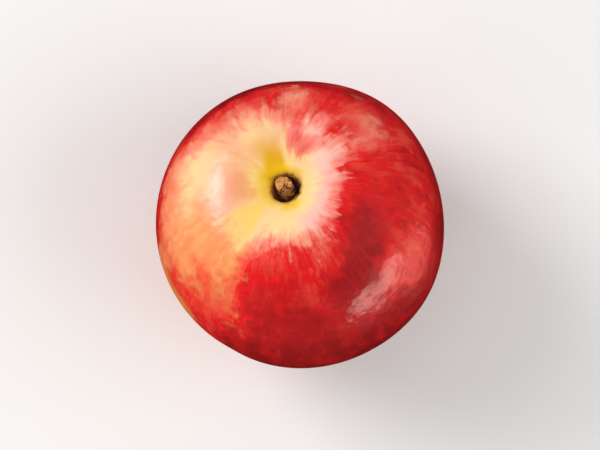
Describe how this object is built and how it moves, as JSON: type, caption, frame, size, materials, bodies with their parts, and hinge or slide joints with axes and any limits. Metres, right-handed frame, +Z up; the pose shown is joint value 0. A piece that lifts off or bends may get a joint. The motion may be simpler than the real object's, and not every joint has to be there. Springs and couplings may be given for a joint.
{
  "type": "nectarine",
  "caption": "Whole nectarine, a smooth-skinned peach, standing on a small flat spot with its stem cavity up and leaning back; stub of the stalk in the pit",
  "frame": {"origin": "on the table, under the middle of the fruit's bounding box", "axes": "+Z is up from the table; the stem end leans 19 degrees from +Z towards the compass direction 111 degrees from +X, near +Y; the suture runs down from it towards 240 degrees"},
  "size_m": [0.068, 0.0676, 0.0688],
  "materials": {
    "skin": "smooth waxy fruit skin, red with a cream and yellow stem cavity and one pale cheek",
    "dry_stalk": "dry torn stalk, tan on top and dark brown at the sides"
  },
  "bodies": {
    "root": {"fruit": "skin", "stem_stub": "dry_stalk"}
  },
  "joints": []
}
